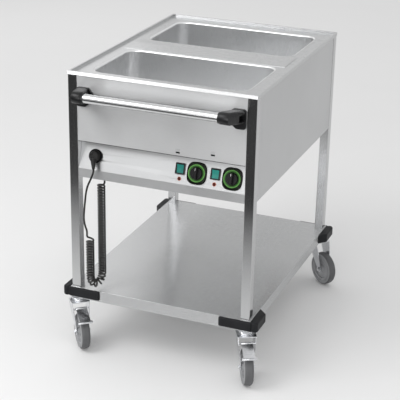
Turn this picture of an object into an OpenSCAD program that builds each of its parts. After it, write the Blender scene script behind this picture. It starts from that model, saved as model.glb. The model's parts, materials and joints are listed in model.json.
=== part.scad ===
// Heated serving trolley: two deep drawn wells in a closed body on four square posts,
// over a flat shelf with corner bumpers, on four swivel casters.
// The front is -Y, the right side is +X and the floor is Z = 0.
// The origin lies on the floor, below the middle of the whole trolley's box.

/* [Body] */
// Width of the top, across the front
body_w = 650; // [620:1:760]
// Length of the top, front to back
body_l = 867; // [850:1:1000]
// Height of the rim's top above the floor
body_top = 988; // [950:1:1060]
// Height of the body, from the rim's top to the panels' bottom edges
body_h = 359; // [345:1:400]
// Thickness of the sheet steel
sheet = 1.5; // [1:0.1:2]
// Width of the raised rim round the top
rim_w = 8; // [6:0.5:12]
// Depth of the top plate below the rim
rim_drop = 9; // [6:0.5:12]
// Height of the rim's outer skirt
skirt_h = 12; // [12:0.5:20]
// Setting of the panels behind the posts' faces
panel_inset = 1; // [0.5:0.1:3]
// Depth of the folded flanges on the panels
flange = 14; // [10:1:18]

/* [Wells] */
// Inside length of a well, across the trolley
well_w = 532; // [480:1:545]
// Inside width of a well, front to back
well_l = 300; // [280:1:310]
// Depth of a well below the top plate
well_depth = 205; // [150:1:210]
// Radius of a well's upright corners
well_r = 40; // [30:1:60]
// Radius of a well's rolled top edge
well_lip_r = 6; // [4:0.5:10]
// Radius between a well's walls and its floor
well_floor_r = 20; // [12:1:28]
// Distance between the two wells' inside walls
wells_gap = 144; // [130:1:160]
// Height of the low roof between the wells
bridge_h = 6; // [4:0.5:8]
// Length of the sloping ends of that roof
bridge_hip = 16; // [8:1:30]
// Outside diameter of a drain pipe
drain_d = 27; // [20:0.5:34]
// Drop from a well's floor to its drain valve
drain_drop = 165; // [155:1:190]

/* [Control panel] */
// Depth of the seam above the controls, below the rim's top
seam_drop = 233; // [225:1:240]
// Height of the upright lip below the controls
lip_h = 31; // [26:1:36]
// Setting back of the sloping panel at the seam
panel_setback = 32; // [26:1:40]
// Rise of the floor panel above the panels' bottom edges
floor_rise = 23; // [21:1:30]
// Distance of the last dial from the control panel's right end
dial_end = 46.9; // [45:0.1:60]
// Distance between the dials
dial_pitch = 120.5; // [118:0.5:125]
// Distance of a switch from its dial
switch_gap = 57.6; // [56:0.1:60]
// Height of the dials' centres up the slope
dial_up = 43; // [42:0.5:50]
// Width of a dial plate
dial_w = 73; // [68:0.5:76]
// Height of a dial plate
dial_h = 75; // [68:0.5:78]
// Diameter of a dial's coloured ring
ring_d = 55; // [50:0.5:58]
// Diameter of a knob
knob_d = 41; // [36:0.5:44]
// Height of a knob
knob_h = 18; // [14:0.5:24]
// Diameter of the regulators' shafts
shaft_d = 6; // [5:0.1:8]
// Width of a switch frame
switch_w = 33; // [31:0.5:35]
// Height of a switch frame
switch_h = 37; // [35:0.5:40]
// Throw of a rocker, in degrees
rocker_throw = 16; // [10:1:18]
// Diameter of a pilot lamp
lamp_d = 10; // [8:0.5:12]
// Distance of the parking socket from the control panel's left end
park_end = 57.4; // [46:0.1:70]
// Outside diameter of the parking socket
park_d = 47; // [44:0.5:52]

/* [Frame] */
// Side of a square post
post = 32; // [28:0.5:40]
// Wall of a post
post_wall = 1.5; // [1.2:0.1:3]
// Height of the shelf above the floor
shelf_z = 222; // [215:1:260]
// Depth of the shelf's folded lip
shelf_lip = 40; // [36:1:48]
// Reach of the shelf past the posts
shelf_over = 4.4; // [3:0.1:8]
// Depth of the stiffening channels under the shelf
channel_h = 22; // [15:1:28]
// Length of a bumper's arms
bumper_arm = 110; // [90:1:130]
// Reach of a bumper past the shelf's long side
bumper_side = 27; // [20:1:32]
// Reach of a bumper past the shelf's short side
bumper_end = 8; // [6:1:14]
// Height of a bumper
bumper_h = 35; // [28:1:36]

/* [Handle] */
// Diameter of the handle bar
handle_d = 30; // [26:0.5:34]
// Wall of the handle bar
handle_wall = 1.5; // [1.2:0.1:2.5]
// Depth of the bar's middle below the rim's top
handle_drop = 60; // [50:1:75]
// Reach of the bar's middle from the front panel
handle_reach = 76; // [65:1:85]
// Distance of a bracket's middle from the front panel's end
bracket_end = 29.9; // [29.9:0.1:50]
// Width of a bracket's foot
bracket_w = 57; // [52:1:58]
// Height of a bracket's foot
bracket_h = 64; // [60:1:74]

/* [Casters] */
// Diameter of the wheels
wheel_d = 125; // [120:1:130]
// Width of the wheels
wheel_w = 32; // [28:0.5:34]
// Trail of a wheel behind its swivel pin
trail = 39; // [34:0.5:44]
// Diameter of the axle bolts
axle_d = 8; // [6:0.5:10]
// Diameter of the swivel pins
kingpin_d = 12; // [10:0.5:14]
// Heading of the front left caster, in degrees
heading_front_left = 41; // [0:1:60]
// Heading of the front right caster, in degrees
heading_front_right = 29; // [0:1:60]
// Heading of the rear left caster, in degrees
heading_rear_left = 35; // [0:1:60]
// Heading of the rear right caster, in degrees
heading_rear_right = 53; // [0:1:60]

/* [Cord] */
// Diameter of the cord
cord_d = 6.5; // [6:0.1:7]
// Outside diameter of the curls
curl_d = 27; // [25:0.5:28]

/* [Hidden] */
$fn = 48;
fit = 0.1;
shaft_fit = 0.05;
run_gap = 0.3;
tiny = 0.01;

// Frame of posts, and the levels of the body
post_out_x = body_w / 2 - sheet - fit;
post_out_y = body_l / 2 - sheet - fit;
post_mid_x = post_out_x - post / 2;
post_mid_y = post_out_y - post / 2;
post_in_x = post_out_x - post;
post_in_y = post_out_y - post;
plate_z = body_top - rim_drop;
body_bottom = body_top - body_h;
seam_z = body_top - seam_drop;
fold_z = body_bottom + lip_h;
face_y = -(post_out_y - panel_inset);
side_x = post_out_x - panel_inset;
floor_panel_z = body_bottom + floor_rise;
panel_h = plate_z - sheet - fit - body_bottom;

// Wells
well_y = (wells_gap + well_l) / 2;
wells_forward = 4;
well_floor_z = plate_z - well_depth;
well_rows = [-well_y - wells_forward, well_y - wells_forward];
bridge_l = wells_gap - 2 * well_lip_r - 4;
bridge_w = well_w + 2 * well_lip_r + 36;
drain_x = 150;
drain_wall = 2;
valve_z = well_floor_z - drain_drop;
valve_d = 38;
valve_h = 50;
stem_d = 8;
stem_boss = 12;
lever_l = 78;
heater_d = 8;
heater_run = 380;
heater_pitch = 60;

// Sloping control panel: local X across, local Y up the slope, local Z out of it
slope_rise = seam_z - fold_z;
slope_tilt = atan(panel_setback / slope_rise);
slope_len = norm([panel_setback, slope_rise]);
last_dial_x = post_in_x - dial_end;
dial_xs = [last_dial_x - dial_pitch, last_dial_x];
plate_t = 4;
ring_t = 2;
knob_lift = plate_t + run_gap;
switch_up = dial_up + 7;
switch_t = 4;
rocker_w = switch_w - 10;
rocker_h = switch_h - 8;
rocker_pin_d = 3;
rocker_pin_z = -3;
lamp_up = dial_up - 26;
park_up = dial_up + 4;
park_depth = 30;
park_rim = 5;
socket_d = park_d - 9;
plug_d = socket_d - 0.6;

// Shelf and bumpers
shelf_half_x = post_out_x + shelf_over;
shelf_half_y = post_out_y + shelf_over;
shelf_foot = shelf_z - shelf_lip;
shelf_hem = 10;
channel_w = 80;
channel_web = 40;

// Handle
handle_z = body_top - handle_drop;
handle_y = face_y - handle_reach;
sleeve_d = handle_d + 10;
collar_d = handle_d + 6;
collar_l = 6.5;
bracket_x = post_in_x - bracket_end;
sleeve_in = bracket_x - 27.5;
sleeve_out = bracket_x + 3;
bar_half = sleeve_out - 5;
foot_t = 9;
foot_z = handle_z - 20;
foot_r = 8;
arm_root = 12;
notch_w = 60;
notch_h = 22;
notch_depth = 34;
notch_wall = bracket_x - 8.5;
screw_x = bracket_x + 3;
screw_z = handle_z - 10;
screw_d = 8;
screw_head_d = 13;
screw_nut = 13;

// Casters: local -Y is the trailing side, the swivel pin stands on the origin
wheel_r = wheel_d / 2;
tyre_round = 10;
crown_t = 3;
crown_w = 64;
crown_front = 24;
crown_back = 32;
crown_r = 6;
race_h = 13;
race_d = 48;
mount_d = 54;
crown_z = shelf_foot - race_h - run_gap;
cheek_t = 2.5;
cheek_gap = wheel_w / 2 + 3;
cheek_tilt = atan((crown_w / 2 - cheek_t - cheek_gap) / (crown_z - wheel_r));
boss_gap = 0.3;
hub_half = wheel_w / 2 + 1;
pedal_pin_u = 30;
pedal_pin_z = crown_z - 25;
pedal_pin_d = 6;
pedal_w = 38;
pedal_lip_w = 50;
pedal_tip_u = 90;
pedal_tip_z = 116;
pedal_t = 2.5;
pedal_pin_half = cheek_gap + (pedal_pin_z - wheel_r) * tan(cheek_tilt) + 1;
kings = [[-post_mid_x, -post_mid_y], [post_mid_x, -post_mid_y],
         [-post_mid_x, post_mid_y], [post_mid_x, post_mid_y]];
headings = [heading_front_left, heading_front_right, heading_rear_left, heading_rear_right];

// Middle of the whole trolley's box, which the origin lies under
function ahead(i) = [sin(headings[i]), -cos(headings[i])];
function across(i) = [cos(headings[i]), sin(headings[i])];
function tyre_reach(i, k) = kings[i][k] + trail * ahead(i)[k];
function tyre_half(i, k) = (wheel_r - tyre_round) * abs(ahead(i)[k])
    + (wheel_w / 2 - tyre_round) * abs(across(i)[k]) + tyre_round;
function crown_half(i, k) = (crown_w / 2 - crown_r) * abs(across(i)[k])
    + (crown_front - crown_r) * abs(ahead(i)[k]) + crown_r;
function lip_reach(i, k, s) = kings[i][k] + (pedal_tip_u + 7) * ahead(i)[k]
    + s * pedal_lip_w / 2 * across(i)[k];
wheels = [0:3];
pedals = [0:1];
bumper_out = [shelf_half_x + bumper_side, shelf_half_y + bumper_end];
function low(k) = min(concat([-bumper_out[k], k == 1 ? handle_y - sleeve_d / 2 : 0],
    [for (i = wheels) tyre_reach(i, k) - tyre_half(i, k)],
    [for (i = pedals) for (s = [-1, 1]) lip_reach(i, k, s)]));
function high(k) = max(concat([bumper_out[k]],
    [for (i = wheels) tyre_reach(i, k) + tyre_half(i, k)],
    [for (i = wheels) kings[i][k] + crown_half(i, k)],
    [for (i = pedals) for (s = [-1, 1]) lip_reach(i, k, s)]));
mid_x = (low(0) + high(0)) / 2;
mid_y = (low(1) + high(1)) / 2;

// Cord: a straight lead from the plug, curls that hang in a loop, and a short tail up to
// the gland. The curls' middle line goes down, round a half turn, and up to the tail.
plug_x = park_end - post_in_x;
// The lead's route from below the plug, from the foot of the slope straight below the socket
lead_steps = [[8, -21, 12], [8, -21, 4], [6, -21, -5], [2, -22, -16], [-3, -23, -28],
    [-9, -24, -41], [-14, -24, -54], [-18, -24, -70], [-21, -24, -88], [-23, -24, -106],
    [-25, -24, -122], [-27, -23, -138], [-28.5, -23, -153], [-29.5, -22, -167],
    [-29, -21, -180], [-27, -21, -191], [-24, -21, -200.5], [-21, -21, -208],
    [-19.5, -21, -215], [-19.5, -21, -222]];
lead_route = [for (p = lead_steps) [plug_x, face_y, fold_z] + p];
lead_end = lead_route[len(lead_route) - 1];
gland_d = 22;
gland_thread = 16;
gland_drop = 18;
gland_foot = floor_panel_z - sheet - gland_drop;
curl_r = (curl_d - cord_d) / 2;
curl_rings = 8;
curl_sides = 6;
curl_top_z = gland_foot - 8 - cord_d;
turn_z = 283;
turn_depth = 34;
down_mid = [lead_end[0] + curl_r, lead_end[1]];
up_mid = [plug_x + 12.5, face_y + 26];
turn_r = norm(up_mid - down_mid) / 2;
turn_dir = unit([up_mid[0] - down_mid[0], up_mid[1] - down_mid[1], 0]);
turn_side = cross(turn_dir, [0, 0, 1]);
turn_mid = [down_mid[0], down_mid[1], turn_z] + turn_r * turn_dir;
curl_start_z = lead_end[2] - cord_d;
down_l = curl_start_z - turn_z;
up_l = curl_top_z - turn_z;
// Turns of the curls: in the two legs, and round the bend, where they fan out. The bend's
// rates are turns in a degree of its half ellipse, at its ends and at its lowest point.
turns_down = 14.6;
turns_up = 33.2;
bend_end_rate = 0.0640;
bend_low_rate = 0.0300;
turns_bend = turns_at(180);
turns = turns_down + turns_bend + turns_up;
bend_table = [for (a = [0:180]) [turns_at(a), a]];
curl_phase = 180 + atan2(turn_dir[1], turn_dir[0]);
settle = 8;
curl_points = concat([curl_point(0) + [0, 0, cord_d]],
    [for (i = [0:turns * curl_rings]) curl_point(i / curl_rings)],
    [curl_point(turns) + [0, 0, cord_d]]);
gland_x = curl_point(turns)[0];
gland_y = curl_point(turns)[1];

steel = "#c9cbcc";
grey_plastic = "#35373a";
zinc = "#d7dadc";
tyre_grey = "#6d6f72";

// ---- Helpers ----

module on_floor() translate([-mid_x, -mid_y, 0]) children();

module round_rect(w, d, r) {
    square([w - 2 * r, d], center = true);
    square([w, d - 2 * r], center = true);
    for (x = [-1, 1]) for (y = [-1, 1]) translate([x * (w / 2 - r), y * (d / 2 - r)]) circle(r);
}

// A square ring of folded sheet, as a prism
module frame_ring(w, d, wall, z, h)
    translate([0, 0, z]) linear_extrude(h) difference() {
        square([w, d], center = true);
        square([w - 2 * wall, d - 2 * wall], center = true);
    }

// A profile led round a rounded rectangle: its X points outward and its Y up
module lead_round(w, d, r) {
    for (k = [0:3]) {
        run = k % 2 == 0 ? w - 2 * r : d - 2 * r;
        reach = k % 2 == 0 ? d / 2 : w / 2;
        rotate([0, 0, 90 * k]) rotate([90, 0, 90]) linear_extrude(run, center = true)
            translate([reach, 0]) children();
        sx = k == 0 || k == 3 ? 1 : -1;
        sy = k < 2 ? 1 : -1;
        translate([sx * (w / 2 - r), sy * (d / 2 - r), 0]) rotate([0, 0, 90 * k])
            rotate_extrude(angle = 90) translate([r, 0]) children();
    }
}

// A quarter of a ring of sheet, centred on the origin, in the quadrant of sx and sy
module bend(r, t, sx, sy) intersection() {
    difference() {
        circle(r);
        circle(r - t);
    }
    translate([sx > 0 ? 0 : -r, sy > 0 ? 0 : -r]) square(r);
}

module on_slope(x, up) translate([x, face_y, fold_z]) rotate([90 - slope_tilt, 0, 0])
    translate([0, up, 0]) children();

// A section drawn in Y and Z, led along X
module along_x(l) rotate([90, 0, 90]) linear_extrude(l, center = true) children();

module at_caster(i) translate([kings[i][0], kings[i][1], 0]) rotate([0, 0, headings[i]]) children();

module hex(across_flats, h) cylinder(d = across_flats / cos(30), h = h, $fn = 6);

// ---- Top and wells ----

module top_sheet() color(steel) on_floor() difference() {
    union() {
        frame_ring(body_w, body_l, sheet, body_top - skirt_h, skirt_h);
        frame_ring(body_w, body_l, rim_w, body_top - sheet, sheet);
        frame_ring(body_w - 2 * (rim_w - sheet), body_l - 2 * (rim_w - sheet), sheet,
            plate_z - sheet, rim_drop + sheet);
        translate([0, 0, plate_z - sheet / 2])
            cube([body_w - 2 * rim_w + tiny, body_l - 2 * rim_w + tiny, sheet], center = true);
    }
    for (y = well_rows) translate([0, y, plate_z - 2 * sheet]) linear_extrude(4 * sheet)
        round_rect(well_w + 2 * well_lip_r + 2 * fit, well_l + 2 * well_lip_r + 2 * fit,
            well_r + well_lip_r + fit);
}

module well_bridge() color(steel) on_floor() translate([0, -wells_forward, plate_z]) difference() {
    bridge_roof(0);
    bridge_roof(sheet);
}

// The low roof, sunk by drop: the sheet's upper or lower face
module bridge_roof(drop) intersection() {
    translate([0, 0, -drop]) along_x(bridge_w) polygon([[-bridge_l / 2, -drop], [bridge_l / 2, -drop],
        [bridge_l / 2, sheet], [0, bridge_h], [-bridge_l / 2, sheet]]);
    translate([0, 0, -drop]) rotate([90, 0, 0]) linear_extrude(bridge_l, center = true)
        polygon([[-bridge_w / 2, -drop], [bridge_w / 2, -drop], [bridge_w / 2, sheet],
            [bridge_w / 2 - bridge_hip, bridge_h], [bridge_hip - bridge_w / 2, bridge_h],
            [-bridge_w / 2, sheet]]);
    translate([0, 0, bridge_h / 2])
        cube([bridge_w - 2 * drop, bridge_l - 2 * drop, bridge_h + tiny], center = true);
}

// One deep drawn well: rolled top edge, straight walls, rounded floor and drain hole
module well(y) color(steel) on_floor() translate([0, y, 0]) difference() {
    union() {
        lead_round(well_w, well_l, well_r) {
            translate([0, well_floor_z + well_floor_r])
                square([sheet, well_depth - well_floor_r - well_lip_r]);
            translate([well_lip_r, plate_z - well_lip_r]) bend(well_lip_r, sheet, -1, 1);
            translate([-well_floor_r, well_floor_z + well_floor_r])
                bend(well_floor_r + sheet, sheet, 1, -1);
        }
        translate([0, 0, well_floor_z - sheet]) linear_extrude(sheet)
            round_rect(well_w - 2 * well_floor_r, well_l - 2 * well_floor_r,
                well_r - well_floor_r);
    }
    translate([drain_x, 0, well_floor_z - 2 * sheet])
        cylinder(d = drain_d - 2 * drain_wall, h = 4 * sheet);
}

module front_well() well(well_rows[0]);
module rear_well() well(well_rows[1]);

// ---- Body panels ----

module front_panel() color(steel) on_floor() difference() {
    along_x(2 * post_in_x - 2 * fit) {
        translate([face_y, seam_z]) square([sheet, plate_z - sheet - fit - seam_z]);
        translate([face_y, seam_z]) square([panel_setback - fit, sheet]);
        translate([face_y, plate_z - 2 * sheet - fit]) square([flange, sheet]);
    }
    for (s = [-1, 1]) translate([s * screw_x, face_y, screw_z]) rotate([90, 0, 0])
        cylinder(d = screw_d + 1, h = 20, center = true);
}

module control_panel() color(steel) on_floor() difference() {
    along_x(2 * post_in_x - 2 * fit) {
        translate([face_y, fold_z]) rotate(-slope_tilt) square([sheet, slope_len + sheet]);
        translate([face_y, body_bottom]) square([sheet, lip_h]);
        translate([face_y, body_bottom]) square([flange, sheet]);
        translate([face_y + panel_setback, seam_z]) square([sheet, flange]);
    }
    for (x = dial_xs) {
        on_slope(x, dial_up) cylinder(d = shaft_d + 4, h = 20, center = true);
        on_slope(x - switch_gap, switch_up) cube([switch_w - 4, switch_h - 4, 20], center = true);
        on_slope(x - switch_gap, lamp_up) cylinder(d = lamp_d - 2, h = 20, center = true);
    }
    on_slope(plug_x, park_up) cylinder(d = socket_d + 2 * sheet + 2 * fit, h = 20, center = true);
}

// A plain side: a sheet with a flange folded inward at its top and bottom, on the +Y side
module plain_panel(l, reach, h) {
    along_x(l) {
        translate([reach - sheet, body_bottom]) square([sheet, h]);
        translate([reach - flange, body_bottom]) square([flange, sheet]);
        translate([reach - flange, body_bottom + h - sheet]) square([flange, sheet]);
    }
}

module left_panel() color(steel) on_floor() rotate([0, 0, 90])
    plain_panel(2 * post_in_y - 2 * fit, side_x, panel_h);
module right_panel() color(steel) on_floor() rotate([0, 0, -90])
    plain_panel(2 * post_in_y - 2 * fit, side_x, panel_h);
module rear_panel() color(steel) on_floor()
    plain_panel(2 * post_in_x - 2 * fit, -face_y, panel_h);

// A tray, skirts down on the panels' flanges, cut away round the posts
module floor_panel() color(steel) on_floor() difference() {
    w = 2 * (side_x - sheet - fit);
    l = 2 * (-face_y - sheet - fit);
    union() {
        translate([-w / 2, -l / 2, floor_panel_z - sheet]) cube([w, l, sheet]);
        frame_ring(w, l, sheet, body_bottom + sheet, floor_rise - sheet);
    }
    for (k = kings) translate([k[0], k[1], floor_panel_z])
        cube([post + 4 * fit, post + 4 * fit, 3 * floor_rise], center = true);
    for (y = well_rows) translate([drain_x, y, floor_panel_z])
        cylinder(d = drain_d + 2, h = 4 * sheet, center = true);
    translate([gland_x, gland_y, floor_panel_z])
        cylinder(d = gland_thread, h = 4 * sheet, center = true);
}

// ---- Frame and shelf ----

module square_post(i) color(steel) on_floor() translate([kings[i][0], kings[i][1], shelf_foot])
    linear_extrude(plate_z - sheet - fit - shelf_foot) difference() {
        round_rect(post, post, 2);
        round_rect(post - 2 * post_wall, post - 2 * post_wall, 1);
    }

module post_front_left() square_post(0);
module post_front_right() square_post(1);
module post_rear_left() square_post(2);
module post_rear_right() square_post(3);

module shelf() color(steel) on_floor() difference() {
    union() {
        translate([0, 0, shelf_z - sheet]) linear_extrude(sheet)
            square([2 * shelf_half_x, 2 * shelf_half_y], center = true);
        frame_ring(2 * shelf_half_x, 2 * shelf_half_y, sheet, shelf_foot, shelf_lip);
        frame_ring(2 * shelf_half_x, 2 * shelf_half_y, shelf_hem, shelf_foot, sheet);
    }
    for (k = kings) translate([k[0], k[1], shelf_z])
        cube([post + 2 * fit, post + 2 * fit, 3 * shelf_lip], center = true);
}
module shelf_channels() color(steel) on_floor() for (y = [-1, 1])
    translate([0, y * body_l / 4, shelf_z - sheet - fit])
        along_x(2 * (shelf_half_x - shelf_hem - fit)) difference() {
            translate([-channel_w / 2, -channel_h]) square([channel_w, channel_h]);
            for (s = [0, 1]) mirror([s, 0]) translate([channel_web / 2, -channel_h - tiny])
                square([channel_w - channel_web, channel_h - sheet + tiny]);
            translate([sheet - channel_web / 2, sheet - channel_h])
                square([channel_web - 2 * sheet, channel_h]);
        }

// A corner bumper for the +X, +Y corner: a thin arm along the end of the shelf and a
// fat nose along its long side, sloped off at the arm's end and rounded all round
module corner_bumper() {
    r = 6;
    z = [shelf_z - bumper_h + r, shelf_z - r];
    nose = 26;
    difference() {
        union() {
            hull() for (h = z) {
                translate([bumper_side - nose / 2, bumper_end - nose / 2, h])
                    rotate_extrude($fn = 28) translate([nose / 2 - r, 0]) circle(r, $fn = 16);
                translate([bumper_side - r, r - bumper_arm + bumper_side, h]) sphere(r, $fn = 16);
                translate([-r, r - bumper_arm, h]) sphere(r, $fn = 16);
            }
            hull() for (h = z) {
                translate([0, bumper_end - r, h]) sphere(r, $fn = 16);
                translate([r - bumper_arm, bumper_end - r, h]) sphere(r, $fn = 16);
                translate([r - bumper_arm, -r, h]) sphere(r, $fn = 16);
            }
        }
        translate([-2 * bumper_arm, -2 * bumper_arm, 0])
            cube([2 * bumper_arm, 2 * bumper_arm, 2 * shelf_z]);
    }
}

module bumper(i) color(grey_plastic) on_floor() {
    sx = sign(kings[i][0]);
    sy = sign(kings[i][1]);
    translate([sx * shelf_half_x, sy * shelf_half_y, 0])
        mirror([sx < 0 ? 1 : 0, 0, 0]) mirror([0, sy < 0 ? 1 : 0, 0]) corner_bumper();
}

module bumper_front_left() bumper(0);
module bumper_front_right() bumper(1);
module bumper_rear_left() bumper(2);
module bumper_rear_right() bumper(3);

// ---- Handle ----

module handle_bar() color("#e3e5e6") on_floor() translate([0, handle_y, handle_z])
    rotate([0, 90, 0]) difference() {
        cylinder(d = handle_d, h = 2 * bar_half, center = true);
        cylinder(d = handle_d - 2 * handle_wall, h = 2 * bar_half + 1, center = true);
    }

// Outline of a bracket's foot, its bulge towards the arm
module foot_outline() hull() {
    x = bracket_w / 2 - foot_r;
    y = bracket_h / 2 - foot_r;
    for (p = [[x, y], [-x / 2, y], [-x, y - 12], [-x, y - 32], [0, -y], [x, -y]])
        translate(p) circle(foot_r, $fn = 32);
}

// The right hand bracket: a foot on the panel, an arm, a blind sleeve for the bar with a
// collar at its mouth, and a notch in the arm's root for the screw
module bracket() difference() {
    union() {
        translate([bracket_x, face_y, foot_z]) rotate([90, 0, 0]) linear_extrude(foot_t)
            foot_outline();
        hull() {
            translate([bracket_x + 5.5, face_y - foot_t, foot_z + 11]) rotate([90, 0, 0])
                linear_extrude(arm_root) round_rect(bracket_w - 16, sleeve_d, foot_r);
            sleeve_part(sleeve_in, sleeve_out, sleeve_d, 32);
        }
        sleeve_part(sleeve_in, sleeve_out, sleeve_d, $fn);
        sleeve_part(sleeve_in - collar_l, sleeve_in + tiny, collar_d, $fn);
    }
    sleeve_part(sleeve_in - 2 * collar_l, bar_half, handle_d + 2 * shaft_fit, $fn);
    translate([notch_wall, face_y - foot_t - notch_depth, screw_z - notch_h / 2])
        cube([notch_w, notch_depth, notch_h]);
    translate([screw_x, face_y, screw_z]) rotate([90, 0, 0])
        cylinder(d = screw_d + 0.4, h = 3 * foot_t, center = true);
}

// A cylinder on the bar's line, from one distance to another from the trolley's middle
module sleeve_part(from, to, d, facets) translate([from, handle_y, handle_z])
    rotate([0, 90, 0]) cylinder(d = d, h = to - from, $fn = facets);

module handle_bracket_right() color(grey_plastic) on_floor() bracket();
module handle_bracket_left() color(grey_plastic) on_floor() mirror([1, 0, 0]) bracket();

// A bolt with a hexagon socket through each bracket and the panel, and its nut
module handle_screws() color(zinc) on_floor() for (x = [-1, 1])
    translate([x * screw_x, face_y - foot_t, screw_z]) rotate([90, 0, 0]) {
        difference() {
            union() {
                cylinder(d = screw_head_d, h = 6);
                translate([0, 0, -foot_t - sheet - 8]) cylinder(d = screw_d, h = foot_t + sheet + 9);
            }
            translate([0, 0, 2.5]) hex(6, 4);
        }
        translate([0, 0, -foot_t - sheet - 6.5]) difference() {
            hex(screw_nut, 6.5);
            translate([0, 0, -1]) cylinder(d = screw_d + 2 * shaft_fit, h = 9);
        }
    }

// ---- Controls on the slope ----

module dial_plates() color("#16181a") on_floor() for (x = dial_xs) on_slope(x, dial_up)
    difference() {
        union() {
            linear_extrude(plate_t - 1.5) round_rect(dial_w, dial_h, 18);
            linear_extrude(plate_t) round_rect(dial_w - 4, dial_h - 4, 17);
        }
        translate([0, 0, -1]) cylinder(d = shaft_d + 1, h = plate_t + 2);
    }

module dial_rings() color("#4f8f3a") on_floor() for (x = dial_xs) on_slope(x, dial_up)
    translate([0, 0, plate_t]) difference() {
        cylinder(d = ring_d, h = ring_t);
        translate([0, 0, -1]) cylinder(d = knob_d + 1.5, h = ring_t + 2);
    }

// A knob with a finger bar across it, bored for the regulator's shaft
module knob(x) color("#1b1c1e") on_floor() on_slope(x, dial_up) translate([0, 0, knob_lift])
    difference() {
        union() {
            cylinder(d = knob_d, h = 5);
            translate([0, 0, 5]) cylinder(d1 = knob_d, d2 = knob_d - 4, h = 2);
            intersection() {
                cylinder(d = knob_d - 2, h = knob_h);
                rotate([90, 0, 90]) linear_extrude(11, center = true)
                    polygon([[-knob_d / 2, 0], [knob_d / 2, 0], [knob_d / 2 - 3, knob_h],
                        [3 - knob_d / 2, knob_h]]);
            }
        }
        translate([0, 0, -1]) cylinder(d = shaft_d + 2 * shaft_fit, h = knob_h - 3);
        translate([0, knob_d / 2 - 8, knob_h - 0.8]) cube([2, 8, 2], center = true);
    }

module knob_one() knob(dial_xs[0]);
module knob_two() knob(dial_xs[1]);

// The heat regulators behind the slope, with their shafts
module regulators() color("#8f9294") on_floor() for (x = dial_xs) on_slope(x, dial_up) {
    translate([0, 0, -sheet - 17 - fit]) cube([44, 40, 34], center = true);
    translate([0, 0, -sheet - 1]) cylinder(d = shaft_d, h = sheet + knob_lift + knob_h - 4);
}

module switch_frames() color("#1c1e20") on_floor() for (x = dial_xs)
    on_slope(x - switch_gap, switch_up) difference() {
        union() {
            linear_extrude(switch_t) round_rect(switch_w, switch_h, 3);
            translate([0, 0, -11]) cube([switch_w - 4.4, switch_h - 4.4, 22 + tiny], center = true);
        }
        translate([0, 0, 0]) cube([rocker_w + 0.8, rocker_h + 0.8, 20], center = true);
        translate([0, 0, rocker_pin_z]) rotate([0, 90, 0])
            cylinder(d = rocker_pin_d + 2 * shaft_fit, h = rocker_w + 5, center = true);
    }

// A rocker, at rest with its upper end out: it turns on its own pin
module rocker(x) color("#2f9a8c") on_floor() on_slope(x - switch_gap, switch_up)
    translate([0, 0, rocker_pin_z]) rotate([rocker_throw / 2, 0, 0]) {
        r = rocker_h / 2 - 0.6;
        along_x(rocker_w) polygon([[-r, 6.4], [-r / 2, 5.2], [0, 4.8], [r / 2, 5.2], [r, 6.4],
            [r - 4, -3], [4 - r, -3]]);
        rotate([0, 90, 0]) cylinder(d = rocker_pin_d, h = rocker_w + 4.4, center = true);
    }

module rocker_one() rocker(dial_xs[0]);
module rocker_two() rocker(dial_xs[1]);

module pilot_lamps() color("#b5301c") on_floor() for (x = dial_xs)
    on_slope(x - switch_gap, lamp_up) {
        cylinder(d = lamp_d, h = 1.5);
        translate([0, 0, 1.5]) intersection() {
            translate([0, 0, -lamp_d / 4]) sphere(d = lamp_d * 1.1);
            cylinder(d = lamp_d - 1, h = lamp_d);
        }
        translate([0, 0, -12]) cylinder(d = lamp_d - 2.2, h = 12 + tiny);
    }

// A blind socket that holds the plug when it isn't in use
module parking_socket() color("#1a1b1d") on_floor() on_slope(plug_x, park_up) difference() {
    union() {
        cylinder(d = park_d, h = park_rim);
        translate([0, 0, -park_depth]) cylinder(d = socket_d + 2 * sheet, h = park_depth + tiny);
    }
    translate([0, 0, sheet - park_depth]) cylinder(d = socket_d, h = park_depth + park_rim);
}

// The parked plug: a round body in the socket, its side outlet and strain relief down
module plug() color("#202224") on_floor() {
    plug_body();
    hull() {
        on_slope(plug_x, park_up) translate([0, -8, park_rim + 10]) rotate([90, 0, 0])
            cylinder(d = 19, h = 4, $fn = 24);
        translate(lead_route[0]) cylinder(d = cord_d + 2.5, h = 5, $fn = 24);
    }
}

module plug_body() on_slope(plug_x, park_up) {
    difference() {
        union() {
            translate([0, 0, -4]) cylinder(d = plug_d, h = park_rim + 8);
            translate([0, 0, park_rim + 4]) cylinder(d1 = plug_d, d2 = plug_d - 10, h = 9);
        }
        for (s = [-1, 1]) translate([s * plug_d / 2, 0, 0])
            cube([5, 6, 2 * park_rim + 6], center = true);
    }
    for (s = [-1, 1]) translate([s * 9.5, 0, -23]) cylinder(d = 4.8, h = 20);
}

// ---- Cord ----

function unit(v) = v / norm(v);
function cross_up(t) = abs(t[0]) < 0.9 ? unit(cross(t, [1, 0, 0])) : unit(cross(t, [0, 1, 0]));

// Turns made from the bend's start to an angle round it, in degrees
function turns_at(a) = bend_low_rate * a
    + (bend_end_rate - bend_low_rate) * (a / 2 + sin(2 * a) * 45 / PI);
// The angle round the bend at a turn: 0 on the first leg, 180 on the second
function bend_at(t) = lookup(t - turns_down, bend_table);
// The curls' middle line, and its direction, at a turn
function spine(t) = t < turns_down ?
    [down_mid[0], down_mid[1], curl_start_z - run_at(t, turns_down, down_l)]
    : t > turns - turns_up ?
    [up_mid[0], up_mid[1], curl_top_z - run_at(turns - t, turns_up, up_l)]
    : turn_mid - turn_r * cos(bend_at(t)) * turn_dir - [0, 0, turn_depth * sin(bend_at(t))];
function spine_dir(t) = unit(turn_r * sin(bend_at(t)) * turn_dir
    - [0, 0, turn_depth * cos(bend_at(t))]);
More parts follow.
